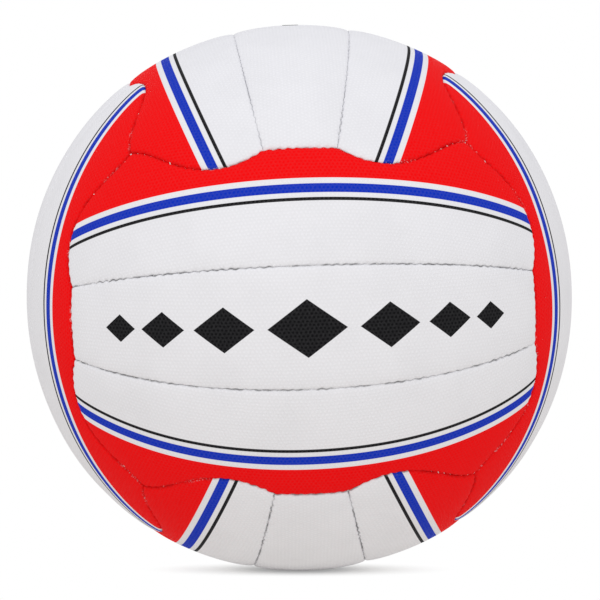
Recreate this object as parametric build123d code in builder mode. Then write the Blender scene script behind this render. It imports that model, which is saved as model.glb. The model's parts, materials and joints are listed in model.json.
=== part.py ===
"""Netball, size 5: eighteen sewn panels over a lined air bladder, with a plug valve at the top.

The origin is the ball's centre, and +Z runs out through the valve. Six faces of three strips each wrap
the ball. The strips run along X on the front and back, along Y on the top and bottom, and along Z on
the left and right, so each face's long edges meet the strip ends of the next face.
"""

import os
from math import atan, cos, degrees, radians, tan

from build123d import *

# The ball and its layers, from the outside in
ball_radius = 111.4
cover_thickness = 1.6
lining_thickness = 1.2
bladder_wall = 0.9
glue_film = 0.1

# Edges of the panels, and the thread that lies in the channel between the linings
seam_gap = 0.2
edge_round = 1.2
edge_land = 0.2
thread_depth_clearance = 0.1
thread_side_clearance = 0.8
thread_end_clearance = 1.2

# Layout of one face, as angles at the ball's centre
strip_seam_angle = 12.1
middle_end_angle = 53.7
end_bow_angle = 18.1

# Valve: a plug with a blind bore for the inflating needle, in a flanged housing bonded to the bladder
valve_recess = 0.6
needle_bore_diameter = 2.2
needle_bore_depth = 10.0
core_wall = 1.1
core_tip_length = 7.0
core_tip_chamfer = 0.9
core_clearance = 0.15
housing_wall = 1.2
housing_spare_length = 3.0
housing_rim_chamfer = 0.4
housing_clearance = 0.15
flange_width = 9.5
flange_thickness = 1.4

# Radii of the layers, and the thread's sizes in its channel
cover_inner = ball_radius - cover_thickness
lining_outer = cover_inner - glue_film
lining_inner = lining_outer - lining_thickness
bladder_outer = lining_inner - glue_film
bladder_inner = bladder_outer - bladder_wall
thread_diameter = lining_thickness - 2 * thread_depth_clearance
stitch_channel = thread_diameter + 2 * thread_side_clearance
thread_path_radius = (lining_outer + lining_inner) / 2

# Sizes of the valve's pieces, worked out from the needle's bore outwards
core_diameter = needle_bore_diameter + 2 * core_wall
core_length = needle_bore_depth + core_tip_length
core_bore_diameter = core_diameter + 2 * core_clearance
housing_diameter = core_bore_diameter + 2 * housing_wall
housing_depth = core_length + housing_spare_length
valve_hole_diameter = housing_diameter + 2 * housing_clearance
flange_diameter = housing_diameter + 2 * flange_width
valve_top = ball_radius - valve_recess

# A face's outline is drawn on a plane just outside the ball, and is drawn in to the centre from there.
# On that plane the face's corners lie one plane distance each way, whatever the layout.
plane_margin = 10.0
plane_distance = ball_radius + plane_margin
seam_rise = tan(radians(strip_seam_angle))
step_rise = 1 / tan(radians(middle_end_angle))
bow_drop = tan(radians(end_bow_angle))

# Half of a long edge, from the face's corner to the step beside the next face's middle strip
corner = Vector(1, 1)
step = Vector(step_rise * seam_rise, step_rise)
lean = corner + (step - corner) * (1 / 3)
pull = corner + (step - corner) * (2 / 3) - Vector(0, bow_drop)
bow_controls = [corner, lean, pull, step]
bow_arcs = 5

# Each face's plane at the centre, with X along its strips, and its strips from the -Y side to the +Y side
faces = {
    "front": (Plane((0, 0, 0), x_dir=(1, 0, 0), z_dir=(0, -1, 0)), ("lower", "middle", "upper")),
    "back": (Plane((0, 0, 0), x_dir=(-1, 0, 0), z_dir=(0, 1, 0)), ("lower", "middle", "upper")),
    "left": (Plane((0, 0, 0), x_dir=(0, 0, 1), z_dir=(-1, 0, 0)), ("front", "middle", "back")),
    "right": (Plane((0, 0, 0), x_dir=(0, 0, -1), z_dir=(1, 0, 0)), ("front", "middle", "back")),
    "top": (Plane((0, 0, 0), x_dir=(0, -1, 0), z_dir=(0, 0, 1)), ("left", "middle", "right")),
    "bottom": (Plane((0, 0, 0), x_dir=(0, 1, 0), z_dir=(0, 0, -1)), ("left", "middle", "right")),
}
half_turn = Rotation(0, 0, 180)
valve_strip = ("top", "middle")


def on_plane(point):
    """The place on the drawing plane of a point that is given in plane distances."""
    return (plane_distance * point.X, plane_distance * point.Y)


def seen_from_next_face(point):
    """The same direction from the ball's centre, as it lies on the next face's drawing plane."""
    return Vector(1 / point.Y, point.X / point.Y)


def strip_wedge(is_middle, gap):
    """A wedge from the centre out through one strip, drawn in all round by half the gap between strips."""
    end = seen_from_next_face(step)
    centre_rise = 0 if is_middle else (seam_rise + step_rise) / 2
    apex = Vertex(0, centre_rise * gap / 2, gap / 2)
    with BuildPart() as wedge:
        with BuildSketch(Plane.XY.offset(plane_distance)) as outline:
            if is_middle:
                Rectangle(2 * plane_distance * end.X, 2 * plane_distance * end.Y)
            else:
                own_end = [seen_from_next_face(point) for point in reversed(bow_controls)]
                with BuildLine():
                    Line((0, plane_distance * end.Y), on_plane(end))
                    Bezier(*map(on_plane, own_end), weights=[point.Y for point in reversed(bow_controls)])
                    Bezier(*map(on_plane, bow_controls))
                    Line(on_plane(step), (0, plane_distance * step.Y))
                    mirror(about=Plane.YZ)
                make_face()
            offset(amount=-gap / 2, kind=Kind.INTERSECTION, mode=Mode.REPLACE)
        loft(sections=[apex, outline.sketch.face()], ruled=True)
    return wedge.part


def cover_strip(is_middle):
    """A rubber strip of the outer skin, with its outer edges turned in to the seams."""
    with BuildPart() as strip:
        Sphere(ball_radius)
        Sphere(cover_inner, mode=Mode.SUBTRACT)
        add(strip_wedge(is_middle, seam_gap), mode=Mode.INTERSECT)
        outside = strip.faces().sort_by(SortBy.AREA)[-1]
        fillet(outside.edges(), min(edge_round, cover_thickness - edge_land))
    return strip.part


def lining_strip(is_middle):
    """The cloth backing of one strip, short of its edges by half the stitch channel."""
    with BuildPart() as strip:
        Sphere(lining_outer)
        Sphere(lining_inner, mode=Mode.SUBTRACT)
        add(strip_wedge(is_middle, stitch_channel), mode=Mode.INTERSECT)
    return strip.part


def bow_point(share, side):
    """A point of a long edge's bow on the thread's sphere, from the corner at 0 to the step at 1."""
    rest = 1 - share
    bow_shares = (rest**3, 3 * rest**2 * share, 3 * rest * share**2, share**3)
    flat = sum((point * weight for point, weight in zip(bow_controls, bow_shares)), Vector(0, 0))
    return Vector(side * flat.X, flat.Y, 1).normalized() * thread_path_radius


def thread_along(path):
    """A round thread swept along a path."""
    with BuildPart() as thread:
        with BuildSketch(Plane(origin=path @ 0, z_dir=path % 0)):
            Circle(thread_diameter / 2)
        sweep(path=path)
    return thread.part


def strip_thread(side):
    """The thread under the seam between a face's middle strip and the strip beside it."""
    seam_plane = Plane((0, 0, 0), x_dir=(1, 0, 0), z_dir=(0, -1, side * seam_rise))
    end_angle = degrees(atan(cos(radians(strip_seam_angle)) / step_rise))
    half_angle = end_angle - degrees(thread_end_clearance / thread_path_radius)
    with BuildLine(seam_plane) as path:
        CenterArc((0, 0), thread_path_radius, 90 - half_angle, 2 * half_angle)
    return thread_along(path.line)


def bow_thread(side):
    """The thread under one bow of a long edge, in tangent arcs that stay on the thread's sphere."""
    nudge = 0.001
    corner_pace = (bow_point(nudge, side) - bow_point(0, side)).length / nudge
    step_pace = (bow_point(1, side) - bow_point(1 - nudge, side)).length / nudge
    first_share = thread_end_clearance / corner_pace
    last_share = 1 - thread_end_clearance / step_pace
    share_step = (last_share - first_share) / bow_arcs
    stops = [bow_point(first_share + share_step * count, side) for count in range(bow_arcs + 1)]
    heading = bow_point(first_share + nudge, side) - stops[0]
    with BuildLine() as path:
        for start, end in zip(stops, stops[1:]):
            arc = TangentArc(start, end, tangent=heading)
            heading = arc % 1
    return thread_along(path.line)


def step_thread():
    """The thread under the straight step in the middle of a long edge."""
    half_angle = atan(step.X * cos(atan(step.Y))) - thread_end_clearance / thread_path_radius
    step_plane = Plane((0, 0, 0), x_dir=(1, 0, 0), z_dir=(0, -1, step.Y))
    with BuildLine(step_plane) as path:
        CenterArc((0, 0), thread_path_radius, 90 - degrees(half_angle), 2 * degrees(half_angle))
    return thread_along(path.line)


def save(part, name):
    """Label a finished piece and write it under its own name."""
    part.label = name
    export_step(part, f"parts/{name}.step")


os.makedirs("parts", exist_ok=True)

# The eighteen covers and their linings; the strip at the top has the valve's hole
for kind, make_strip in (("cover", cover_strip), ("lining", lining_strip)):
    middle_strip = make_strip(True)
    outer_strip = make_strip(False)
    for face, (face_plane, strips) in faces.items():
        for strip_name, strip in zip(strips, (half_turn * outer_strip, middle_strip, outer_strip)):
            with BuildPart() as panel:
                add(face_plane * strip)
                if (face, strip_name) == valve_strip:
                    with Locations((0, 0, ball_radius)):
                        Cylinder(valve_hole_diameter / 2, 2 * housing_depth, mode=Mode.SUBTRACT)
            save(panel.part, f"{face}_{strip_name}_{kind}")

# The threads: two beside each face's middle strip, and three lengths under each of its long edges
for face, (face_plane, strips) in faces.items():
    with BuildPart() as strip_threads:
        add(face_plane * strip_thread(-1))
        add(face_plane * strip_thread(1))
    save(strip_threads.part, f"{face}_strip_threads")
    for edge, turned in ((strips[0], face_plane * half_turn), (strips[2], face_plane)):
        with BuildPart() as border_threads:
            for length in (bow_thread(-1), step_thread(), bow_thread(1)):
                add(turned * length)
        save(border_threads.part, f"{face}_{edge}_border_threads")

# The bladder, holed for the valve
with BuildPart() as bladder:
    Sphere(bladder_outer)
    Sphere(bladder_inner, mode=Mode.SUBTRACT)
    with Locations((0, 0, bladder_outer)):
        Cylinder(valve_hole_diameter / 2, 2 * housing_depth, mode=Mode.SUBTRACT)
save(bladder.part, "bladder")

# The valve's housing: a flange that follows the bladder's inside, and a tube out to the cover
with BuildPart() as valve_housing:
    Sphere(bladder_inner - glue_film)
    Sphere(bladder_inner - glue_film - flange_thickness, mode=Mode.SUBTRACT)
    with Locations((0, 0, bladder_inner)):
        Cylinder(flange_diameter / 2, 2 * housing_depth, mode=Mode.INTERSECT)
    with BuildSketch(Plane.XY.offset(valve_top)):
        Circle(housing_diameter / 2)
    extrude(amount=-housing_depth)
    rim = valve_housing.faces().sort_by(Axis.Z)[-1]
    chamfer(rim.edges(), housing_rim_chamfer)
    with BuildSketch(Plane.XY.offset(valve_top)):
        Circle(core_bore_diameter / 2)
    extrude(amount=-housing_depth, mode=Mode.SUBTRACT)
save(valve_housing.part, "valve_housing")

# The plug that pulls out of the housing, with the needle's bore in its outer end
with BuildPart() as valve_core:
    with BuildSketch(Plane.XY.offset(valve_top)):
        Circle(core_diameter / 2)
    extrude(amount=-core_length)
    tip = valve_core.faces().sort_by(Axis.Z)[0]
    chamfer(tip.edges(), core_tip_chamfer)
    with BuildSketch(Plane.XY.offset(valve_top)):
        Circle(needle_bore_diameter / 2)
    extrude(amount=-needle_bore_depth, mode=Mode.SUBTRACT)
save(valve_core.part, "valve_core")
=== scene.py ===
"""Dresses a packed netball: its sewn rubber strips, stitches, valve and inside, on a plain stage."""
import json
import math

import bpy
import numpy as np
from bpy.props import FloatProperty, FloatVectorProperty, PointerProperty
from mathutils import Matrix, Vector


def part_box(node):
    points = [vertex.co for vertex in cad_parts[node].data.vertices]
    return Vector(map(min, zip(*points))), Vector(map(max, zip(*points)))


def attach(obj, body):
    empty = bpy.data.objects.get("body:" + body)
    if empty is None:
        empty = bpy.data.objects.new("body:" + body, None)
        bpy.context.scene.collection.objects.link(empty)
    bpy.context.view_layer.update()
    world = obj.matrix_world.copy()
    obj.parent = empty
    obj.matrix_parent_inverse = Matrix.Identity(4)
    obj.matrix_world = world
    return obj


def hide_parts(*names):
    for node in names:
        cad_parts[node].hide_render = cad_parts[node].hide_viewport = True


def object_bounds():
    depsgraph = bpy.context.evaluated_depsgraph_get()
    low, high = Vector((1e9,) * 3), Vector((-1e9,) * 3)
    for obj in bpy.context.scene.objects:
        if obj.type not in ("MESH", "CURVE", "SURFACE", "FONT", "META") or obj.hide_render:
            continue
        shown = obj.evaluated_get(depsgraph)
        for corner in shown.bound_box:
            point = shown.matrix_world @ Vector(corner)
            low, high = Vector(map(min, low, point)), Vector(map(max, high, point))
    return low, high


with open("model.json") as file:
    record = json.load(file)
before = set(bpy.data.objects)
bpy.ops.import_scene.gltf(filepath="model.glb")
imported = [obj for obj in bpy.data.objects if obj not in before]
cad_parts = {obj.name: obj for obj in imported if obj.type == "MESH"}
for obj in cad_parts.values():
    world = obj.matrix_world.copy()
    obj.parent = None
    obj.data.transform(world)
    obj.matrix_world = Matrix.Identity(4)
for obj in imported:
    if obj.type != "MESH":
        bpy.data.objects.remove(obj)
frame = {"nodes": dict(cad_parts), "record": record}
CAD_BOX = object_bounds()

bl_info = {
    "name": "Sewn Netball",
    "version": (1, 0, 0),
    "blender": (4, 5, 0),
    "location": "View3D > Sidebar > Netball",
    "description": "Builds a netball's sewn strips, stitches, valve and stage round its packed construction",
    "category": "Object",
}

MM = 0.001
BALL = "ball"
BALL_RADIUS = (CAD_BOX[1].x - CAD_BOX[0].x) / 2

# Each face: the way its strips run, the way it looks, and its strips from one long edge to the other
FACES = {
    "front": ((1, 0, 0), (0, -1, 0), ("lower", "middle", "upper")),
    "back": ((-1, 0, 0), (0, 1, 0), ("lower", "middle", "upper")),
    "left": ((0, 0, 1), (-1, 0, 0), ("front", "middle", "back")),
    "right": ((0, 0, -1), (1, 0, 0), ("front", "middle", "back")),
    "top": ((0, -1, 0), (0, 0, 1), ("left", "middle", "right")),
    "bottom": ((0, 1, 0), (0, 0, -1), ("left", "middle", "right")),
}
FIRST, MIDDLE, LAST = range(3)  # places in a face's list of strips
DIAMOND_FACES = ("front", "back")
VALVE_FACE = "top"

# Unevenness that neighbouring strips share along a seam: its shortest wave, longest wave and seed
SWAY = (8 * MM, 24 * MM, 11)
RUFFLE = (5 * MM, 16 * MM, 12)
TIGHTNESS = (9 * MM, 40 * MM, 13)

# Least and most of that unevenness, as a share of its mean
SWAY_LIMITS = (-0.5, 2.5)
RUFFLE_LIMITS = (0, 2.2)
TIGHTNESS_LIMITS = (0.15, 2)

# Shortest and longest wave of each face's own swelling, and of how loosely a seam is sewn
SWELL_WAVES = (30 * MM, 90 * MM)
LOOSENESS_WAVES = (7 * MM, 20 * MM)

# Patches per metre of the noise in each finish
TONE_PATCHES = 55.0
SOIL_PATCHES = 210.0
PIMPLE_STRAYING = 420.0
RUBBER_GRAIN = 1500.0
THREAD_FIBRES = 4200.0
CLOTH_WEAVE = 420.0
CLOTH_SLUBS = 160.0
MOULD_HAZE = 260.0
MOULD_GRAIN = 2600.0

# Noise levels between which each effect of a finish comes in
CLOUD = (0.35, 0.75)
SOILED = (0.40, 0.64)
WORN_SPECK = (0.54, 0.64)
WORN_STRETCH = (0.52, 0.60)
THIN_INK = (0.35, 0.70)
PALE_FIBRE = (0.30, 0.70)

# Each lamp: its place in metres, in the camera's axes, and its width
KEY_LAMP = ((-0.3, 1.2, 1.3), 1.3)
FRONT_LAMP = ((0.3, 0.42, 1.5), 0.9)


def length(name, description, default):
    """A property for a length in metres."""
    return FloatProperty(
        name=name, description=description, default=default, min=0, precision=5,
        subtype="DISTANCE", unit="LENGTH",
    )


def angle(name, description, default):
    """A property for an angle, with its default in degrees."""
    return FloatProperty(
        name=name, description=description, default=math.radians(default), subtype="ANGLE", unit="ROTATION"
    )


def amount(name, description, default):
    """A property for a share of something."""
    return FloatProperty(
        name=name, description=description, default=default, min=0, soft_max=1, subtype="FACTOR"
    )


def power(name, description, default):
    """A property for a lamp's power in watts."""
    return FloatProperty(name=name, description=description, default=default, min=0, unit="POWER")


def colour(name, description, default):
    """A property for a colour, with its default as linear red, green and blue."""
    return FloatVectorProperty(
        name=name, description=description, default=default, min=0, max=1, subtype="COLOR"
    )


class NetballStrips(bpy.types.PropertyGroup):
    """The layout of the strips and the shape of their sewn edges."""

    seam_angle: angle("Strip seam", "Angle from a face's middle line to the seams beside it", 12.1)
    end_angle: angle("Middle end", "Angle from a face's middle to the ends of its middle strip", 53.7)
    bow_angle: angle("End bow", "How far the ends of the outer strips bow out, as an angle", 18.1)
    side_tilt: angle("Outer strip tilt", "Angle from a face's middle line to that of an outer strip", 24.5)
    thickness: length("Thickness", "Thickness of a strip", 1.6 * MM)
    seam_gap: length("Seam gap", "Gap between two strips in a seam", 0.06 * MM)
    edge_depth: length("Edge depth", "How deep a strip's edge turns down into its seam", 0.50 * MM)
    edge_round: length("Edge round", "How far from the seam an edge starts to turn down", 1.0 * MM)
    pillow_depth: length("Pillow depth", "How far a strip sinks towards its seams", 0.70 * MM)
    pillow_reach: length("Pillow reach", "How far from a seam a strip sinks", 3.0 * MM)
    pucker_depth: length("Pucker depth", "How far each stitch pulls the edge down", 0.24 * MM)
    pucker_reach: length("Pucker reach", "How far from the seam a stitch pulls", 1.1 * MM)
    ruffle: amount("Ruffle", "How unevenly the stitches pull along a seam", 0.7)
    tightness: amount("Uneven tightness", "How much the seams' depth changes along them", 0.45)
    wander: length("Seam wander", "How far a seam wanders to each side between its stitches", 0.12 * MM)
    unevenness: length("Unevenness", "How far the surface swells and dips over the air bladder", 0.10 * MM)
    flatness: length("Flatness", "How far the sewn faces pull the ball towards a cube", 2.2 * MM)
    first_step: length("First step", "Mesh step at the edge of a strip", 0.06 * MM)
    largest_step: length("Largest step", "Mesh step beside a strip's seams", 0.40 * MM)


class NetballStitches(bpy.types.PropertyGroup):
    """The sewing thread that winds along each seam."""

    pitch: length("Pitch", "Distance from one stitch to the next", 3.6 * MM)
    thread_radius: length("Thread radius", "Radius of the sewing thread", 0.22 * MM)
    sway: length("Sway", "How far the thread swings to each side of the seam", 0.70 * MM)
    middle_depth: length("Depth", "Depth of the seam's thread below the ball's surface", 2.08 * MM)
    rise: length("Rise", "How far a stitch rises above that depth", 0.38 * MM)
    slack: length("Slack", "How far a loose stitch stands above the others", 0.42 * MM)
    held: amount("Held", "How loose a stitch has to be before it stands up", 0.62)


class NetballValve(bpy.types.PropertyGroup):
    """The ribbed rubber plug of the valve and the hole that it sits in."""

    mouth: length("Mouth", "Rounding of the needle bore's mouth", 0.35 * MM)
    shoulder: length("Shoulder", "Rounding of the plug's upper rim", 0.40 * MM)
    tip: length("Tip", "Rounding of the plug's lower end", 0.90 * MM)
    groove: length("Groove", "Depth of the grooves round the plug", 0.16 * MM)
    groove_pitch: length("Groove pitch", "Distance from one groove to the next", 2.2 * MM)
    collar: length("Collar", "From the plug's side out to the edge of the hole in the strip", 1.55 * MM)


class NetballPrint(bpy.types.PropertyGroup):
    """The rubber of the strips, and the bands and diamonds printed on them."""

    white: colour("White", "The bare grip rubber", (0.80, 0.80, 0.84))
    red: colour("Red", "The broad bands", (0.86, 0.002, 0.003))
    blue: colour("Blue", "The narrow bands", (0.003, 0.030, 0.47))
    black: colour("Black", "The thin lines and the row of diamonds", (0.006, 0.006, 0.007))
    red_start: length("Red start", "From an outer strip's middle line out to the red band", 9.5 * MM)
    blue_start: length("Blue start", "From the middle line to the blue band", 3.6 * MM)
    blue_width: length("Blue width", "Width of the blue band", 3.6 * MM)
    black_start: length("Black start", "From the middle line to the thin black line", 0.4 * MM)
    black_width: length("Black width", "Width of the thin black line", 1.3 * MM)
    diamond_width: length("Diamond width", "Length of the middle diamond along the strip", 30 * MM)
    diamond_height: length("Diamond height", "Height of the middle diamond across the strip", 22 * MM)
    pimple_pitch: length("Pimple pitch", "Distance between the grip's pimples", 1.6 * MM)
    pimple_height: length("Pimple height", "Height of the grip's pimples", 0.12 * MM)
    gloss: amount("Gloss", "Specular level of the rubber", 0.03)
    roughness: amount("Roughness", "Mean roughness of the bare rubber", 0.76)


class NetballWear(bpy.types.PropertyGroup):
    """Painted shade and soil along the seams, painted light on the upper bare seams, and ink worn off beside
    the seams.
    """

    # Darkening along the seams: painted shade in the seam grooves, with patches of soil
    shade_and_soil_level: amount("Soil level", "Share of the rubber's brightness that full soil leaves", 0.35)
    bare_reach: length("Soil reach", "How far from a seam bare rubber is soiled", 0.6 * MM)
    # Even darkening along every seam: painted shade and soil
    even_shade_and_soil: amount("Even soil", "Soil all along the seams", 0.12)
    bare_patchy: amount("Patchy soil", "Soil in patches along the seams of bare rubber", 0.70)
    inked_reach: length("Soil reach on ink", "How far from a seam printed rubber is soiled", 1.3 * MM)
    inked_patchy: amount("Patchy soil on ink", "Soil in patches along those of printed rubber", 0.22)
    # Painted light: the bare seams are darkened less towards the top of the ball, as if lit from above
    lighter_top_seams: amount("Cleaner top", "How much less soil the bare seams round the valve hold", 0.85)
    ink_wear: amount("Ink wear", "How much ink has rubbed off in specks beside the seams", 0.35)
    ink_wear_reach: length("Ink wear reach", "How far from a seam ink has rubbed off", 1.0 * MM)


class NetballInside(bpy.types.PropertyGroup):
    """The colours of the thread, the linings, the bladder and the valve."""

    thread: colour("Thread", "The sewing thread", (0.78, 0.78, 0.77))
    thread_shade: colour("Thread shade", "Between the thread's fibres", (0.56, 0.56, 0.56))
    cloth: colour("Cloth", "The linings", (0.66, 0.61, 0.50))
    cloth_shade: colour("Cloth shade", "Between the threads of the cloth", (0.47, 0.42, 0.33))
    plug: colour("Plug", "The valve's plug", (0.035, 0.035, 0.037))
    plug_bloom: colour("Plug bloom", "Bloom on the plug", (0.08, 0.08, 0.08))
    housing: colour("Housing", "The valve's housing", (0.016, 0.016, 0.017))
    bladder: colour("Bladder", "The air bladder", (0.014, 0.014, 0.015))
    black_bloom: colour("Black bloom", "Bloom on the housing and the bladder", (0.05, 0.05, 0.05))


class NetballStage(bpy.types.PropertyGroup):
    """The camera, the floor and the light."""

    distance: length("Distance", "From the ball's centre to the camera", 1.1044)
    elevation: angle("Elevation", "How far the camera is raised", 6.072)
    turn: angle("Turn", "How far the ball is turned under the camera", 1.455)
    roll: angle("Roll", "How far the ball leans to the side in the picture", 1.902)
    focal: length("Focal length", "Focal length of the lens", 162.2 * MM)
    lift: length("Lift", "How far the ball's centre lies above the middle of the picture", 1.05 * MM)
    shift: length("Shift", "How far the ball's centre lies left of the middle of the picture", 0.33 * MM)
    fill: amount("Fill", "Strength of the even light from all round", 0.885)
    key: power("Key", "Power of the large lamp above the camera", 5.2)
    front: power("Front", "Power of the lamp beside the camera", 1.8)
    floor: colour("Floor", "The floor", (0.74, 0.72, 0.70))
    floor_slope: angle("Floor slope", "How far the camera looks down on the floor", 2.6)
    sheerness: amount("Sheerness", "How much of the light from below comes up through the floor", 0.80)
    underlight: colour("Underlight", "Tint of the light up through the floor", (1.0, 0.965, 0.905))


# Shape of the strips


def face_turn(face):
    """Rows of three: a face's directions along its strips, across them and outwards."""
    along, outward, _ = FACES[face]
    across = np.cross(outward, along)
    return np.array((along, across, outward), float)


def unit(points):
    """The points drawn out to the unit sphere."""
    return points / np.linalg.norm(points, axis=-1, keepdims=True)


def on_sphere(x, y):
    """Directions through points of a face's tangent plane."""
    return unit(np.stack([x, y, np.ones_like(x)], axis=-1))


def spaced(path, shares):
    """Directions at these shares of the length of a path of directions."""
    steps = np.linalg.norm(np.diff(path, axis=0), axis=1)
    reach = np.concatenate([[0], np.cumsum(steps)])
    at = np.asarray(shares) * reach[-1]
    return unit(np.stack([np.interp(at, reach, path[:, axis]) for axis in range(3)], axis=1))


class Seam:
    """One sewn seam between two strips, counter-clockwise round the strip that it belongs to."""

    samples = 401

    def __init__(self, x, y, pitch):
        self.path = spaced(on_sphere(x, y), np.linspace(0, 1, self.samples))
        steps = np.linalg.norm(np.diff(self.path, axis=0), axis=1)
        self.length = steps.sum() * BALL_RADIUS
        self.stitches = max(1, round(self.length / pitch))
        self.tangent = np.gradient(self.path, axis=0)

    def outward(self):
        """Unit directions that point away from the strip along the ball's surface."""
        return unit(np.cross(self.tangent, self.path))

    def nearest(self, points):
        """For each point: its distance to the seam, its share along it and the seam's direction away."""
        place = np.argmax(points @ self.path.T, axis=1)
        tangent = self.tangent[place]
        offset = ((points - self.path[place]) * tangent).sum(1) / (tangent ** 2).sum(1)
        last = self.samples - 1
        offset = np.clip(offset, np.where(place == 0, 0, -1), np.where(place == last, 0, 1))
        foot = self.path[place] + offset[:, None] * tangent
        gap = np.linalg.norm(points - foot, axis=1) * BALL_RADIUS
        return gap, (place + offset) / last, self.outward()[place]


def seam_layout(strips, pitch):
    """The four edges of a middle strip and of an outer strip, each a list of seams, counter-clockwise."""
    seam_rise = math.tan(strips.seam_angle)
    step_rise = 1 / math.tan(strips.end_angle)
    half_length = 1 / step_rise
    step_half = step_rise * seam_rise
    corner = np.array((1.0, 1.0))
    step = np.array((step_half, step_rise))
    lean = corner + (step - corner) / 3
    pull = corner + (step - corner) * 2 / 3 - (0, math.tan(strips.bow_angle))
    steps = 801
    t = np.linspace(0, 1, steps)[:, None]
    bow = corner * (1 - t) ** 3 + 3 * lean * t * (1 - t) ** 2 + 3 * pull * t ** 2 * (1 - t) + step * t ** 3
    x, y = bow.T
    end_x, end_y = (1 / y)[::-1], (x / y)[::-1]
    line = np.linspace(-1, 1, steps)
    flat = np.ones_like(line)

    middle = [
        [Seam(line * half_length, -flat * seam_rise, pitch)],
        [Seam(flat * half_length, line * seam_rise, pitch)],
        [Seam(-line * half_length, flat * seam_rise, pitch)],
        [Seam(-flat * half_length, -line * seam_rise, pitch)],
    ]
    outer = [
        [Seam(line * half_length, flat * seam_rise, pitch)],
        [Seam(end_x, end_y, pitch)],
        [
            Seam(x, y, pitch),
            Seam(-line * step_half, flat * step_rise, pitch),
            Seam(-x[::-1], y[::-1], pitch),
        ],
        [Seam(-end_x[::-1], end_y[::-1], pitch)],
    ]
    return middle, outer


def graded_shares(size, first, largest):
    """Shares along a length, close together at both of its ends."""
    growth = 1.25
    steps = [first]
    while sum(steps) < size / 2:
        steps.append(min(steps[-1] * growth, largest))
    half = np.concatenate([[0], np.cumsum(steps)])
    half *= 0.5 / half[-1]
    return np.concatenate([half, 1 - half[-2::-1]])


def strip_grid(edges, strips):
    """Rows of directions that fill the space between a strip's four edges."""
    lower, right, upper, left = [np.concatenate([seam.path for seam in edge]) for edge in edges]
    upper, left = upper[::-1], left[::-1]
    run = max(sum(seam.length for seam in edges[side]) for side in (0, 2))
    rise = max(edges[side][0].length for side in (1, 3))
    u = graded_shares(run, strips.first_step, strips.largest_step)
    v = graded_shares(rise, strips.first_step, strips.largest_step)
    lower, upper = spaced(lower, u)[None], spaced(upper, u)[None]
    left, right = spaced(left, v)[:, None], spaced(right, v)[:, None]
    u, v = u[None, :, None], v[:, None, None]
    between = (1 - v) * lower + v * upper + (1 - u) * left + u * right
    start_side = (1 - v) * lower[:, :1] + v * upper[:, :1]
    end_side = (1 - v) * lower[:, -1:] + v * upper[:, -1:]
    corners = (1 - u) * start_side + u * end_side
    return unit(between - corners)


def together(amounts):
    """Several amounts rolled into one that follows the largest, without a crease."""
    power = 4
    return sum(a ** power for a in amounts) ** (1 / power)


def bulge(ways, strips):
    """How far the ball stands out from its mean radius: the middle of each face is pulled a little flat."""
    even_share = 0.75
    return strips.flatness * (even_share - (np.asarray(ways) ** 4).sum(axis=-1))


def sewn_strip(edges, points, strips):
    """For each direction of a strip: its place, its swing to the side, its steady sinking, its edge's turn
    inwards, its stitches' pull and its distance to a seam."""
    moved = points.copy()
    swing = np.zeros_like(points)
    tuck, pillow, pucker = [], [], []
    nearest = np.full(len(points), np.inf)
    for seam in (seam for edge in edges for seam in edge):
        gap, share, outward = seam.nearest(points)
        nearest = np.minimum(nearest, gap)
        slope = np.clip(1 - gap / strips.edge_round, 0, 1)
        tuck.append(strips.edge_depth * (1 - np.sqrt(1 - slope ** 2)))
        pillow.append(strips.pillow_depth * np.exp(-gap / strips.pillow_reach))
        phase = 2 * np.pi * seam.stitches * share
        hold = np.exp(-((gap / strips.pucker_reach) ** 2))
        pucker.append(strips.pucker_depth * hold * (0.5 + 0.5 * np.cos(phase)))
        close = outward * (np.exp(-((gap / strips.edge_round) ** 2)) / BALL_RADIUS)[:, None]
        moved -= close * strips.seam_gap / 2
        swing += close * strips.wander * np.sin(phase)[:, None]
    return unit(moved), swing, together(pillow), together(tuck), together(pucker), nearest


def swell(points, shortest, longest, seed):
    """A gentle unevenness between -1 and 1, as a few waves through space with lengths in metres."""
    chance = np.random.default_rng(seed)
    total = np.zeros(len(points))
    waves = 9
    for _ in range(waves):
        direction = unit(chance.normal(size=3))
        turns = 2 * np.pi / chance.uniform(shortest, longest)
        total += np.sin(points @ direction * turns + chance.uniform(0, 2 * np.pi))
    return total / math.sqrt(waves)


def rim(rows, columns):
    """Row and column of every point round a grid, counter-clockwise from its first corner."""
    return (
        [(0, c) for c in range(columns - 1)]
        + [(r, columns - 1) for r in range(rows - 1)]
        + [(rows - 1, c) for c in range(columns - 1, 0, -1)]
        + [(r, 0) for r in range(rows - 1, 0, -1)]
    )


def every(first, last, stride):
    """Numbers from first to last with about that stride, both of them included."""
    return sorted({*range(first, last - stride // 2, stride), last})


def coarse_patch(rows, columns, stride):
    """Faces over a stretch of rows and columns, as lists of places, with every place along its border."""
    row_lines, column_lines = every(*rows, stride), every(*columns, stride)
    faces = []
    for r, r2 in zip(row_lines, row_lines[1:]):
        for c, c2 in zip(column_lines, column_lines[1:]):
            low = [(r, i) for i in (range(c, c2) if r == rows[0] else [c])]
            far = [(i, c2) for i in (range(r, r2) if c2 == columns[1] else [r])]
            high = [(r2, i) for i in (range(c2, c, -1) if r2 == rows[1] else [c2])]
            near = [(i, c) for i in (range(r2, r, -1) if c == columns[0] else [r2])]
            faces.append(low + far + high + near)
    return faces


def numbered(faces, start):
    """A number for each place that the faces use, from start on."""
    places = dict.fromkeys(place for face in faces for place in face)
    return {place: start + i for i, place in enumerate(places)}


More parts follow.
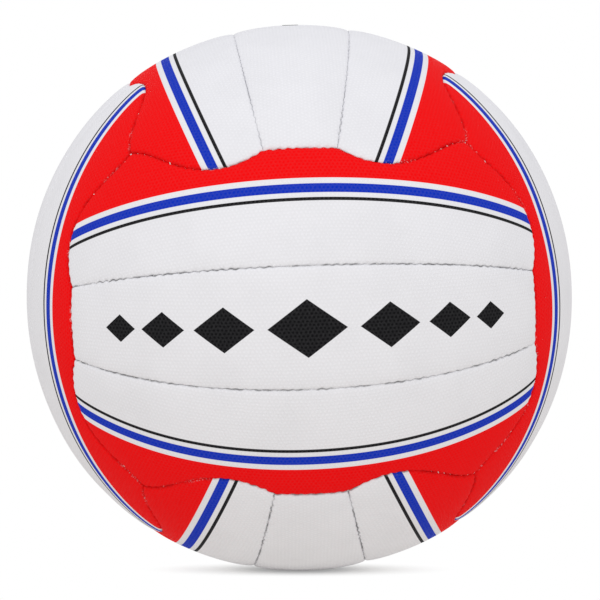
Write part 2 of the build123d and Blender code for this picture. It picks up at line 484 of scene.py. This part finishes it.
def strip_shell(rows, columns):
    """A closed strip: the places of its outer points and of its inner ones, and its faces.

    The outer side is fine beside the seams and coarse between them, and the inner side is coarse.
    """
    fine, outer_stride, inner_stride = 14, 4, 24
    last_row, last_column = rows - 1, columns - 1
    between = ((fine, last_row - fine), (fine, last_column - fine))
    outer = coarse_patch(*between, outer_stride)
    for r in range(last_row):
        for c in range(last_column):
            inside = all(low <= i < high for i, (low, high) in zip((r, c), between))
            if not inside:
                outer.append([(r, c), (r, c + 1), (r + 1, c + 1), (r + 1, c)])
    inner = coarse_patch((0, last_row), (0, last_column), inner_stride)
    above = numbered(outer, 0)
    below = numbered(inner, len(above))
    faces = [[above[place] for place in face] for face in outer]
    faces += [[below[place] for place in reversed(face)] for face in inner]
    edge = rim(rows, columns)
    faces += [[above[a], below[a], below[b], above[b]] for a, b in zip(edge, edge[1:] + edge[:1])]
    return list(above), list(below), faces


def new_piece(name, points, faces, material, node, slot, body=BALL):
    """A smooth mesh in place of a construction node, on the body that carries it."""
    mesh = bpy.data.meshes.new(name)
    mesh.from_pydata(np.asarray(points).tolist(), [], faces)
    mesh.polygons.foreach_set("use_smooth", np.ones(len(mesh.polygons), bool))
    mesh.materials.append(material)
    piece = bpy.data.objects.new(name, mesh)
    bpy.context.scene.collection.objects.link(piece)
    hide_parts(node)
    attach(piece, body)
    return piece


def strip_turn(face, place):
    """Rows of three that turn a strip's pattern to its place on a face."""
    half_turn = np.diag((-1.0, -1.0, 1.0))
    return half_turn @ face_turn(face) if place == FIRST else face_turn(face)


class StripPattern:
    """One shape of strip on a face that looks along Z, before it is turned to its place on the ball."""

    def __init__(self, edges, tilt, strips):
        grid = strip_grid(edges, strips)
        above, below, self.faces = strip_shell(*grid.shape[:2])
        points = grid[tuple(np.array(above + below).T)]
        self.is_inner = np.arange(len(points)) >= len(above)
        sewn = sewn_strip(edges, points, strips)
        self.ways, self.swing, self.pillow, self.tuck, self.pucker, self.seam_distance = sewn
        x, y, z = self.ways.T
        out = math.cos(tilt) * z + math.sin(tilt) * y
        up = math.cos(tilt) * y - math.sin(tilt) * z
        self.along_flat = BALL_RADIUS * np.arctan2(x, out)
        self.across_flat = BALL_RADIUS * np.arcsin(up)

    def placed(self, turn, seed, strips):
        """The strip's points after that turn, drawn in by its stitches and swollen by its face's seed."""
        ways = self.ways @ turn
        sway = np.clip(1 + swell(ways * BALL_RADIUS, *SWAY), *SWAY_LIMITS)
        ways = unit(ways + (self.swing @ turn) * sway[:, None])
        surface = ways * BALL_RADIUS
        uneven = strips.unevenness * (swell(surface, *SWELL_WAVES, seed) - 1)
        ruffle = np.clip(1 + strips.ruffle * swell(surface, *RUFFLE), *RUFFLE_LIMITS)
        tight = np.clip(1 + strips.tightness * swell(surface, *TIGHTNESS), *TIGHTNESS_LIMITS)
        sunk = self.pillow - uneven + self.tuck * tight + self.pucker * ruffle
        thinnest = 0.1 * MM
        stand = np.maximum(bulge(self.ways, strips) - sunk, thinnest - strips.thickness)
        stand = np.where(self.is_inner, -strips.thickness, stand)
        return ways * (BALL_RADIUS + stand)[:, None]

    def lay_flat(self, piece):
        """Gives a strip its flat pattern as a map in metres, and its distance to a seam."""
        mesh = piece.data
        corner = np.zeros(len(mesh.loops), np.int32)
        mesh.loops.foreach_get("vertex_index", corner)
        flat = np.stack([self.along_flat, self.across_flat], axis=1)[corner]
        mesh.uv_layers.new(name="strip").uv.foreach_set("vector", flat.astype(np.float32).ravel())
        near = mesh.attributes.new("seam_distance", "FLOAT", "POINT")
        near.data.foreach_set("value", self.seam_distance.astype(np.float32))


# Shape of the valve


def arc(radius, height, bend, first, last):
    """Points round a bend of a half outline, as radius and height, with the angles in degrees."""
    steps = 6
    turns = [math.radians(first + (last - first) * i / steps) for i in range(steps + 1)]
    return [(radius + bend * math.cos(a), height + bend * math.sin(a)) for a in turns]


def turned(outline):
    """Points and faces of a shape turned about Z, from a half outline that starts and ends on the axis."""
    sides = 72
    turns = 2 * np.pi * np.arange(sides) / sides
    radius, height = np.array(outline[1:-1]).T[:, :, None]
    rings = np.stack(np.broadcast_arrays(radius * np.cos(turns), radius * np.sin(turns), height), axis=-1)
    points = [*rings.reshape(-1, 3), (0, 0, outline[0][1]), (0, 0, outline[-1][1])]
    first_end, last_end = len(points) - 2, len(points) - 1
    last_ring = first_end - sides
    faces = []
    for i in range(sides):
        j = (i + 1) % sides
        faces.append([first_end, i, j])
        faces.append([last_end, last_ring + j, last_ring + i])
        for ring in range(0, last_ring, sides):
            faces.append([ring + i, ring + sides + i, ring + sides + j, ring + j])
    return points, faces


def plug_outline(valve, low, high, outer, bore, bore_depth):
    """Half outline of the valve's plug, from the floor of its needle bore round to its lower end."""
    outline = [(0, high - bore_depth), (bore, high - bore_depth)]
    outline += arc(bore + valve.mouth, high - valve.mouth, valve.mouth, 180, 90)
    outline += arc(outer - valve.shoulder, high - valve.shoulder, valve.shoulder, 90, 0)
    for place in np.arange(high - valve.groove_pitch, low + valve.groove_pitch, -valve.groove_pitch):
        outline += arc(outer, place, valve.groove, 90, 270)
    outline += arc(outer - valve.tip, low + valve.tip, valve.tip, 0, -90)
    return outline + [(0, low)]


def hole_outline(high, bore):
    """Half outline of what is cut from a strip for the valve: a round hole with a softened lip."""
    lip = 0.8 * MM
    spare = 6 * MM
    outline = [(0, high + spare), (bore + lip, high + spare)]
    outline += arc(bore + lip, high - lip, lip, 90, 180)
    return outline + [(bore, high - spare), (0, high - spare)]


def cut_away(piece, outline):
    """Cuts a turned shape out of a piece."""
    tool = bpy.data.meshes.new("cutter")
    points, faces = turned(outline)
    tool.from_pydata(points, [], faces)
    cutter = bpy.data.objects.new("cutter", tool)
    bpy.context.scene.collection.objects.link(cutter)
    cut = piece.modifiers.new("cut", "BOOLEAN")
    cut.object = cutter
    cut.operation = "DIFFERENCE"
    cut.solver = "EXACT"
    bpy.context.view_layer.update()
    made = bpy.data.meshes.new_from_object(piece.evaluated_get(bpy.context.evaluated_depsgraph_get()))
    piece.modifiers.clear()
    piece.data = made
    bpy.data.objects.remove(cutter)


# Shape of the stitches


def stitch_row(seam, stitches, strips):
    """A thread that winds along a seam, over it at each stitch and under it between."""
    sides = 6
    per_stitch = 12
    shares = np.linspace(0, 1, seam.stitches * per_stitch + 1)
    at = shares * (seam.samples - 1)
    sampled = np.arange(seam.samples)
    middle = unit(np.stack([np.interp(at, sampled, seam.path[:, i]) for i in range(3)], axis=1))
    aside = unit(np.stack([np.interp(at, sampled, seam.outward()[:, i]) for i in range(3)], axis=1))
    phase = 2 * np.pi * seam.stitches * shares[:, None]
    loose = swell(middle * BALL_RADIUS, *LOOSENESS_WAVES, seam.stitches) - stitches.held
    loose = np.clip(loose, 0, None)[:, None]
    height = BALL_RADIUS + bulge(middle, strips)[:, None] - stitches.middle_depth
    height = height + stitches.slack * loose + stitches.rise * np.cos(phase)
    path = middle * height + aside * stitches.sway * np.sin(phase)
    forward = unit(np.gradient(path, axis=0))
    first = unit(np.cross(forward, np.cross(aside, middle)))
    second = np.cross(forward, first)
    turns = 2 * np.pi * np.arange(sides) / sides
    ring = np.cos(turns)[None, :, None] * first[:, None] + np.sin(turns)[None, :, None] * second[:, None]
    points = (path[:, None] + stitches.thread_radius * ring).reshape(-1, 3)
    faces = []
    for start in range(0, len(points) - sides, sides):
        for i in range(sides):
            j = (i + 1) % sides
            faces.append([start + i, start + j, start + sides + j, start + sides + i])
    faces.append(list(range(sides))[::-1])
    faces.append(list(range(len(points) - sides, len(points))))
    return points, faces


def stitch_rows(seams, stitches, strips):
    """The threads of several seams as one set of points and faces."""
    points, faces = [], []
    for seam in seams:
        start = sum(len(p) for p in points)
        more_points, more_faces = stitch_row(seam, stitches, strips)
        points.append(more_points)
        faces += [[start + i for i in face] for face in more_faces]
    return np.concatenate(points), faces


# Finishes


class Value:
    """One output of a material's node. Python maths on it adds Math nodes."""

    def __init__(self, paint, socket):
        self.paint = paint
        self.socket = socket

    def math(self, operation, *values):
        """Adds one Math node."""
        return self.paint.node("ShaderNodeMath", {"operation": operation}, dict(enumerate(values)))

    def __add__(self, other):
        return self.math("ADD", self, other)

    def __radd__(self, other):
        return self.math("ADD", other, self)

    def __sub__(self, other):
        return self.math("SUBTRACT", self, other)

    def __rsub__(self, other):
        return self.math("SUBTRACT", other, self)

    def __mul__(self, other):
        return self.math("MULTIPLY", self, other)

    def __rmul__(self, other):
        return self.math("MULTIPLY", other, self)

    def __truediv__(self, other):
        return self.math("DIVIDE", self, other)

    def __pow__(self, other):
        return self.math("POWER", self, other)

    def __abs__(self):
        return self.math("ABSOLUTE", self)

    def fraction(self):
        return self.math("FRACT", self)

    def smaller(self, other):
        return self.math("MINIMUM", self, other)

    def larger(self, other):
        return self.math("MAXIMUM", self, other)

    def rise(self, low, high):
        """Nought below low and one above high, with a soft step between; high may be the smaller."""
        settings = {"interpolation_type": "SMOOTHSTEP"}
        inputs = {"Value": self, "From Min": low, "From Max": high}
        return self.paint.node("ShaderNodeMapRange", settings, inputs)


class Nodes:
    """Adds nodes to the tree of a material or of the world."""

    def __init__(self, tree):
        self.tree = tree

    def node(self, kind, settings, inputs, output=0):
        """Adds a node, sets it up, then fills or links its sockets."""
        made = self.tree.nodes.new(kind)
        for name, value in settings.items():
            setattr(made, name, value)
        for place, value in inputs.items():
            self.feed(made.inputs[place], value)
        return Value(self, made.outputs[output])

    def feed(self, socket, value):
        """Links a value to a socket, or sets a plain number or colour on it."""
        if isinstance(value, Value):
            self.tree.links.new(value.socket, socket)
        else:
            socket.default_value = value

    def rays(self, *kinds):
        """One for rays of these kinds, nought for the rest."""
        found = None
        for kind in kinds:
            one = self.node("ShaderNodeLightPath", {}, {}, output=f"Is {kind} Ray")
            found = one if found is None else found.larger(one)
        return found

    def shown_rays(self):
        """One for rays from the camera and for those that gloss or glass sends on."""
        return self.rays("Camera", "Glossy", "Transmission")


class Paint(Nodes):
    """A new material with a Principled shader, built up node by node."""

    def __init__(self, name, constants):
        self.material = bpy.data.materials.new(name)
        self.material.use_nodes = True
        super().__init__(self.material.node_tree)
        self.shader = self.tree.nodes["Principled BSDF"]
        for socket, value in constants.items():
            self.shader.inputs[socket].default_value = value

    def surface(self, socket, value):
        """Feeds one of the shader's own sockets."""
        self.feed(self.shader.inputs[socket], value)

    def mix(self, share, first, second):
        """A colour that goes from the first to the second as share goes from nought to one."""
        return self.node("ShaderNodeMix", {"data_type": "RGBA"}, {0: share, 6: first, 7: second}, output=2)

    def darken(self, share, first, level):
        """The colour, multiplied down to that level as share goes from nought to one."""
        settings = {"data_type": "RGBA", "blend_type": "MULTIPLY"}
        return self.node("ShaderNodeMix", settings, {0: share, 6: first, 7: solid((level,) * 3)}, output=2)

    def noise(self, place, scale, detail=3.0):
        """Soft patches between nought and one, so many to the metre."""
        return self.node("ShaderNodeTexNoise", {}, {"Vector": place, "Scale": scale, "Detail": detail})

    def bumps(self, height, distance, strength):
        """Feeds the normal from a height between nought and one, over a distance in metres."""
        inputs = {"Height": height, "Distance": distance, "Strength": strength}
        self.surface("Normal", self.node("ShaderNodeBump", {}, inputs))

    def roughen(self, smoothest, roughest, share):
        """Makes the surface rougher as share goes from nought to one."""
        self.surface("Roughness", smoothest + (roughest - smoothest) * share)

    def distance(self, place):
        """How far a place lies from the middle of its object."""
        return self.node("ShaderNodeVectorMath", {"operation": "LENGTH"}, {0: place}, output="Value")

    def body_place(self):
        """The place on the object, in metres."""
        return self.node("ShaderNodeTexCoord", {}, {}, output="Object")


def solid(rgb):
    """A colour with its opacity."""
    return (*rgb, 1.0)


def grip_pimples(along, across, pitch):
    """Rows of round pimples, each row set half a step along from the last, from nought to one."""
    row = math.sqrt(3)
    foot, crown = 0.40, 0.16
    nearest = None
    for shift in (0, 0.5):
        u = (along / pitch + shift).fraction() - 0.5
        v = ((across / (pitch * row) + shift).fraction() - 0.5) * row
        distance = (u * u + v * v) ** 0.5
        nearest = distance if nearest is None else nearest.smaller(distance)
    return nearest.rise(foot, crown)


def printed_bands(across, ink):
    """Where the red, blue and black inks lie on an outer strip."""
    soft = 0.10 * MM

    def band(low, high):
        return across.rise(low - soft, low + soft) * across.rise(high + soft, high - soft)

    red = across.rise(ink.red_start - soft, ink.red_start + soft)
    blue = band(ink.blue_start, ink.blue_start + ink.blue_width)
    black = band(ink.black_start, ink.black_start + ink.black_width)
    return red, blue, black


def printed_diamonds(along, across, ink):
    """Where black ink lies on a middle strip: a row of diamonds, smaller towards the ends."""
    spacing = 1.18
    smaller = 0.78
    count = 3
    sharp = 0.012
    black = None
    place = 0.0
    size = 1.0
    for turn in range(count + 1):
        gap = abs(abs(along) - place) if turn else abs(along)
        inside = gap / (ink.diamond_width / 2 * size) + abs(across) / (ink.diamond_height / 2 * size)
        mark = inside.rise(1 + sharp, 1 - sharp)
        black = mark if black is None else black.larger(mark)
        place += ink.diamond_width / 2 * size * spacing
        size *= smaller
        place += ink.diamond_width / 2 * size * spacing
    return black


def seam_shade_and_soil(paint, place, near, inked, wear):
    """How much the rubber is darkened along its seams: painted shade in the seam grooves with patches of
    soil, and less on the bare seams towards the top, which is painted light.
    """
    patchy = paint.noise(place, SOIL_PATCHES, detail=2.0).rise(*SOILED)
    height = paint.node("ShaderNodeSeparateXYZ", {}, {0: place}, output="Z")
    # Painted light: less darkening on the bare seams higher up the ball, as if lit from above
    lit_start, lit_full = 0.42 * BALL_RADIUS, 0.64 * BALL_RADIUS
    lit_from_above = 1 - wear.lighter_top_seams * height.rise(lit_start, lit_full)
    bare_core, inked_core = 0.05 * MM, 0.15 * MM
    bare = near.rise(wear.bare_reach, bare_core) * (wear.even_shade_and_soil + wear.bare_patchy * patchy)
    printed = near.rise(wear.inked_reach, inked_core) * (wear.even_shade_and_soil + wear.inked_patchy * patchy)
    return bare * (1 - inked) * lit_from_above + printed * inked


def grip_rubber(design, ink, wear):
    """White pimpled rubber, banded, with diamonds or plain, worn and soiled beside its seams, with painted
    shade in its seams and between its pimples.
    """
    paint = Paint(f"{design}_grip_rubber", {"Specular IOR Level": ink.gloss})
    flat = paint.node("ShaderNodeUVMap", {"uv_map": "strip"}, {})
    along = paint.node("ShaderNodeSeparateXYZ", {}, {0: flat}, output="X")
    across = paint.node("ShaderNodeSeparateXYZ", {}, {0: flat}, output="Y")
    near = paint.node("ShaderNodeAttribute", {"attribute_name": "seam_distance"}, {}, output="Fac")
    place = paint.body_place()

    cloudy = paint.noise(place, TONE_PATCHES)
    fine = paint.noise(place, RUBBER_GRAIN, detail=2.0)
    largest_stray = 0.5 * ink.pimple_pitch
    stray = (paint.noise(place, PIMPLE_STRAYING, detail=1.0) - 0.5) * largest_stray
    pimples = grip_pimples(along + stray, across + stray, ink.pimple_pitch)
    shade_level, shade_share = 0.94, 0.5
    shade = [level * shade_level for level in ink.white]
    shown = paint.mix(cloudy.rise(*CLOUD) * shade_share, solid(ink.white), solid(shade))

    wear_core = 0.2 * MM
    specks = fine.rise(*WORN_SPECK) * cloudy.rise(*WORN_STRETCH)
    left = 1 - near.rise(wear.ink_wear_reach, wear_core) * specks * wear.ink_wear
    thin = (1 - pimples) * (0.5 + 0.5 * fine.rise(*THIN_INK))
    thin_red, thin_lines, thin_diamonds = 0.014, 0.03, 0.022
    inked = 0.0
    if design == "banded":
        red, blue, black = printed_bands(across, ink)
        shown = paint.mix(red * (left - thin_red * thin), shown, solid(ink.red))
        shown = paint.mix(blue * (left - thin_lines * thin), shown, solid(ink.blue))
        shown = paint.mix(black * (left - thin_lines * thin), shown, solid(ink.black))
        inked = red.larger(blue).larger(black)
    elif design == "diamond":
        inked = printed_diamonds(along, across, ink)
        shown = paint.mix(inked * (left - thin_diamonds * thin), shown, solid(ink.black))

    # Painted shade in the hollows between the pimples
    painted_shade_between = 0.04
    shown = paint.darken((1 - pimples) * painted_shade_between, shown, 0.0)
    # Painted shade in the seam grooves, and patches of soil, darken the colour beside the seams
    seam_darkening = seam_shade_and_soil(paint, place, near, inked, wear)
    paint.surface("Base Color", paint.darken(seam_darkening, shown, wear.shade_and_soil_level))
    grain_spread, ink_smoothing = 0.16, 0.06
    paint.surface("Roughness", ink.roughness + (fine - 0.5) * grain_spread - ink_smoothing * inked)
    pimple_share, grain_share = 0.8, 0.35
    paint.bumps(pimples * pimple_share + fine * grain_share, ink.pimple_height, strength=0.6)
    return paint.material


def sewing_thread(inside):
    """Waxed white thread with a fine twist."""
    paint = Paint("seam_thread", {"Specular IOR Level": 0.3})
    fibres = paint.noise(paint.body_place(), THREAD_FIBRES, detail=2.0)
    tone = paint.mix(fibres.rise(*PALE_FIBRE), solid(inside.thread_shade), solid(inside.thread))
    paint.surface("Base Color", tone)
    paint.roughen(0.55, 0.75, fibres)
    fibre_height = 0.06 * MM
    paint.bumps(fibres, fibre_height, strength=0.8)
    return paint.material


def lining_cloth(inside):
    """Unbleached laminated cloth in a plain weave."""
    paint = Paint("lining_cloth", {"Specular IOR Level": 0.2})
    place = paint.body_place()
    waves = {"Vector": place, "Scale": CLOTH_WEAVE, "Distortion": 0.6, "Detail": 1.0}
    warp = paint.node("ShaderNodeTexWave", {"bands_direction": "X"}, waves)
    weft = paint.node("ShaderNodeTexWave", {"bands_direction": "Z"}, waves)
    weave = warp * 0.5 + weft * 0.5
    slub = paint.noise(place, CLOTH_SLUBS)
    weave_share, slub_share = 0.6, 0.4
    tone = weave * weave_share + slub * slub_share
    paint.surface("Base Color", paint.mix(tone, solid(inside.cloth_shade), solid(inside.cloth)))
    paint.roughen(0.75, 0.90, slub)
    weave_height = 0.15 * MM
    paint.bumps(weave, weave_height, strength=0.8)
    return paint.material


def moulded_rubber(name, rubber, bloom, bloom_share):
    """Plain moulded rubber with a faint bloom on it."""
    paint = Paint(name, {"Specular IOR Level": 0.35})
    place = paint.body_place()
    haze = paint.noise(place, MOULD_HAZE)
    grain = paint.noise(place, MOULD_GRAIN, detail=2.0)
    paint.surface("Base Color", paint.mix(haze.rise(*CLOUD) * bloom_share, solid(rubber), solid(bloom)))
    paint.roughen(0.45, 0.70, haze)
    grain_height = 0.04 * MM
    paint.bumps(grain, grain_height, strength=0.6)
    return paint.material


def pale_floor(stage):
    """A pale floor, seen as white away from the ball's shadow. Even light comes up through it, except
    round the ball's foot."""
    constants = {"Base Color": solid(stage.floor), "Roughness": 0.9, "Specular IOR Level": 0.1}
    paint = Paint("floor", constants)
    place = paint.body_place()
    wide, deep, forward = 1.12, 0.38, 6 * MM
    spread = {0: place, 1: (1 / wide, 1 / deep, 1), 2: (0, forward / deep, 0)}
    oval = paint.node("ShaderNodeVectorMath", {"operation": "MULTIPLY_ADD"}, spread)
    least_white, shadow_core, shadow_edge = 0.30, 6 * MM, 58 * MM
    fading = paint.distance(oval).rise(shadow_core, shadow_edge)
    white = paint.shown_rays() * (least_white + (1 - least_white) * fading)
    glow = paint.node("ShaderNodeEmission", {}, {"Color": solid((1, 1, 1)), "Strength": 1.0})
    lit = Value(paint, paint.shader.outputs[0])
    seen = paint.node("ShaderNodeMixShader", {}, {0: white, 1: lit, 2: glow})
    through = paint.node("ShaderNodeBsdfTransparent", {}, {"Color": solid(stage.underlight)})
    foot_core, foot_edge = 14 * MM, 50 * MM
    clear = paint.distance(place).rise(foot_core, foot_edge)
    passed = paint.rays("Diffuse", "Shadow") * stage.sheerness * clear
    shown = paint.node("ShaderNodeMixShader", {}, {0: passed, 1: seen, 2: through})
    paint.feed(paint.tree.nodes["Material Output"].inputs["Surface"], shown)
    return paint.material


def dress(node, material):
    """Gives a construction node its finish."""
    mesh = frame["nodes"][node].data
    mesh.materials.clear()
    mesh.materials.append(material)


# Operators


class NETBALL_OT_add_strips(bpy.types.Operator):
    """Builds the eighteen sewn strips of printed grip rubber"""

    bl_idname = "netball.add_strips"
    bl_label = "Add Strips"

    def execute(self, context):
        scene = context.scene
        strips = scene.netball_strips
        middle, outer = seam_layout(strips, scene.netball_stitches.pitch)
        rubber = {
            design: grip_rubber(design, scene.netball_print, scene.netball_wear)
            for design in ("banded", "diamond", "plain")
        }
        for edges, tilt, places in ((middle, 0.0, (MIDDLE,)), (outer, strips.side_tilt, (FIRST, LAST))):
            pattern = StripPattern(edges, tilt, strips)
            for seed, face in enumerate(FACES):
                for place in places:
                    shell = pattern.placed(strip_turn(face, place), seed, strips)
                    design = "banded"
                    if place == MIDDLE:
                        design = "diamond" if face in DIAMOND_FACES else "plain"
                    name = f"{face}_{FACES[face][2][place]}"
                    piece = new_piece(
                        f"{name}_strip", shell, pattern.faces, rubber[design], f"{name}_cover", "grip_rubber"
                    )
                    pattern.lay_flat(piece)
                    if place == MIDDLE and face == VALVE_FACE:
                        self.cut_valve_hole(scene, piece)
        return {"FINISHED"}

    def cut_valve_hole(self, scene, piece):
        """Opens a strip round the valve's plug."""
        face_top = BALL_RADIUS + bulge((0, 0, 1), scene.netball_strips)
        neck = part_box("valve_core")[1].x + scene.netball_valve.collar
        cut_away(piece, hole_outline(face_top, neck))


class NETBALL_OT_add_stitches(bpy.types.Operator):
    """Winds a sewing thread along every seam"""

    bl_idname = "netball.add_stitches"
    bl_label = "Add Stitches"

    def execute(self, context):
        stitches = context.scene.netball_stitches
        strips = context.scene.netball_strips
        middle, outer = seam_layout(strips, stitches.pitch)
        inner_points, inner_faces = stitch_rows(middle[0] + middle[2], stitches, strips)
        border_points, border_faces = stitch_rows(outer[2], stitches, strips)
        thread = sewing_thread(context.scene.netball_inside)
        for face in FACES:
            points = inner_points @ face_turn(face)
            node = f"{face}_strip_threads"
            new_piece(f"{face}_strip_stitches", points, inner_faces, thread, node, "seam_thread")
            for place in (FIRST, LAST):
                points = border_points @ strip_turn(face, place)
                name = f"{face}_{FACES[face][2][place]}_border"
                node = f"{name}_threads"
                new_piece(f"{name}_stitches", points, border_faces, thread, node, "seam_thread")
        return {"FINISHED"}


class NETBALL_OT_add_valve(bpy.types.Operator):
    """Turns the valve's ribbed plug, with its bore for the needle, and finishes the housing round it"""

    bl_idname = "netball.add_valve"
    bl_label = "Add Valve"

    def execute(self, context):
        inside = context.scene.netball_inside
        low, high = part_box("valve_core")
        needle = next(mount for mount in frame["record"]["mounts"] if mount["name"] == "needle_bore")["dims"]
        bore, bore_depth = needle["r_mm"] * MM, needle["length_mm"] * MM
        outline = plug_outline(context.scene.netball_valve, low.z, high.z, high.x, bore, bore_depth)
        rubber = moulded_rubber("valve_core_rubber", inside.plug, inside.plug_bloom, bloom_share=0.6)
        new_piece("valve_plug", *turned(outline), rubber, "valve_core", "valve_core_rubber", "valve_core")
        rubber = moulded_rubber("valve_rubber", inside.housing, inside.black_bloom, bloom_share=0.6)
        dress("valve_housing", rubber)
        return {"FINISHED"}


class NETBALL_OT_dress_inside(bpy.types.Operator):
    """Gives the linings and the bladder their finishes"""

    bl_idname = "netball.dress_inside"
    bl_label = "Dress Inside"

    def execute(self, context):
        inside = context.scene.netball_inside
        cloth = lining_cloth(inside)
        for face, (_, _, names) in FACES.items():
            for name in names:
                dress(f"{face}_{name}_lining", cloth)
        rubber = moulded_rubber("bladder_rubber", inside.bladder, inside.black_bloom, bloom_share=0.5)
        dress("bladder", rubber)
        return {"FINISHED"}


class NETBALL_OT_set_stage(bpy.types.Operator):
    """Sets up the camera, a pale floor and soft studio light"""

    bl_idname = "netball.set_stage"
    bl_label = "Set Stage"

    def execute(self, context):
        stage = context.scene.netball_stage
        context.scene.view_settings.view_transform = "Standard"
        look = self.add_camera(context, stage)
        self.add_floor(context, stage, look)
        self.add_light(context, stage, look)
        return {"FINISHED"}

    def add_camera(self, context, stage):
        """Places the camera, and gives the directions of its axes."""
        front = Matrix(((1, 0, 0), (0, 0, 1), (0, -1, 0)))
        level = Matrix.Rotation(stage.elevation, 3, "X") @ Matrix.Rotation(stage.turn, 3, "Y") @ front
        look = (Matrix.Rotation(stage.roll, 3, "Z") @ level).transposed()
        lens = bpy.data.cameras.new("camera")
        lens.lens = stage.focal / MM
        lens.clip_start = 0.05
        lens.clip_end = 50
        camera = bpy.data.objects.new("camera", lens)
        camera.matrix_world = Matrix.LocRotScale(
            look @ Vector((stage.shift, -stage.lift, stage.distance)), look.to_quaternion(), None
        )
        context.scene.collection.objects.link(camera)
        context.scene.camera = camera
        return look

    def add_floor(self, context, stage, look):
        """A wide floor under the ball, level in the picture."""
        half = 3.0
        right = look @ Vector((1, 0, 0))
        up = look @ Vector((0, math.cos(stage.floor_slope), math.sin(stage.floor_slope)))
        turn = Matrix((right, up.cross(right), up)).transposed()
        corners = [(-half, -half, 0), (half, -half, 0), (half, half, 0), (-half, half, 0)]
        mesh = bpy.data.meshes.new("floor")
        mesh.from_pydata(corners, [], [(0, 1, 2, 3)])
        floor = bpy.data.objects.new("floor", mesh)
        lowest = -up * (BALL_RADIUS + bulge(up, context.scene.netball_strips))
        floor.matrix_world = Matrix.LocRotScale(lowest, turn.to_quaternion(), None)
        context.scene.collection.objects.link(floor)
        mesh.materials.append(pale_floor(stage))

    def add_light(self, context, stage, look):
        """An even white surround, a large soft lamp above the camera and a smaller one beside it."""
        world = bpy.data.worlds.new("studio")
        world.use_nodes = True
        context.scene.world = world
        nodes = Nodes(world.node_tree)
        white = solid((1, 1, 1))
        even = nodes.node("ShaderNodeBackground", {}, {"Color": white, "Strength": stage.fill})
        bright = nodes.node("ShaderNodeBackground", {}, {"Color": white, "Strength": 1.0})
        shown = nodes.node("ShaderNodeMixShader", {}, {0: nodes.shown_rays(), 1: even, 2: bright})
        nodes.feed(world.node_tree.nodes["World Output"].inputs["Surface"], shown)
        lamps = (("key_lamp", KEY_LAMP, stage.key), ("front_lamp", FRONT_LAMP, stage.front))
        for name, (place, width), power in lamps:
            self.add_lamp(context, name, look @ Vector(place), power, width)

    def add_lamp(self, context, name, place, power, width):
        """A square soft lamp that faces the ball."""
        light = bpy.data.lights.new(name, "AREA")
        light.energy = power
        light.size = width
        lamp = bpy.data.objects.new(name, light)
        lamp.matrix_world = Matrix.LocRotScale(place, (-place).to_track_quat("-Z", "Y"), None)
        context.scene.collection.objects.link(lamp)


class VIEW3D_PT_netball(bpy.types.Panel):
    """Lists the steps that build the netball"""

    bl_label = "Netball"
    bl_space_type = "VIEW_3D"
    bl_region_type = "UI"
    bl_category = "Netball"

    def draw(self, context):
        for operator in OPERATORS:
            self.layout.operator(operator.bl_idname)
        for name in SETTINGS:
            box = self.layout.box()
            settings = getattr(context.scene, name)
            for prop in settings.bl_rna.properties:
                if prop.identifier not in ("rna_type", "name"):
                    box.prop(settings, prop.identifier)


SETTINGS = {
    "netball_strips": NetballStrips,
    "netball_stitches": NetballStitches,
    "netball_valve": NetballValve,
    "netball_print": NetballPrint,
    "netball_wear": NetballWear,
    "netball_inside": NetballInside,
    "netball_stage": NetballStage,
}
OPERATORS = (
    NETBALL_OT_add_strips,
    NETBALL_OT_add_stitches,
    NETBALL_OT_add_valve,
    NETBALL_OT_dress_inside,
    NETBALL_OT_set_stage,
)


def register():
    """Adds the classes and the scene's settings."""
    for group in (*SETTINGS.values(), *OPERATORS, VIEW3D_PT_netball):
        bpy.utils.register_class(group)
    for name, group in SETTINGS.items():
        setattr(bpy.types.Scene, name, PointerProperty(type=group))


def unregister():
    """Takes them away again."""
    for name in SETTINGS:
        delattr(bpy.types.Scene, name)
    for group in reversed((*SETTINGS.values(), *OPERATORS, VIEW3D_PT_netball)):
        bpy.utils.unregister_class(group)


def main():
    """Registers the add-on and builds everything."""
    register()
    bpy.ops.netball.add_strips()
    bpy.ops.netball.add_stitches()
    bpy.ops.netball.add_valve()
    bpy.ops.netball.dress_inside()
    bpy.ops.netball.set_stage()
    bpy.context.view_layer.update()


if __name__ == "__main__":
    main()
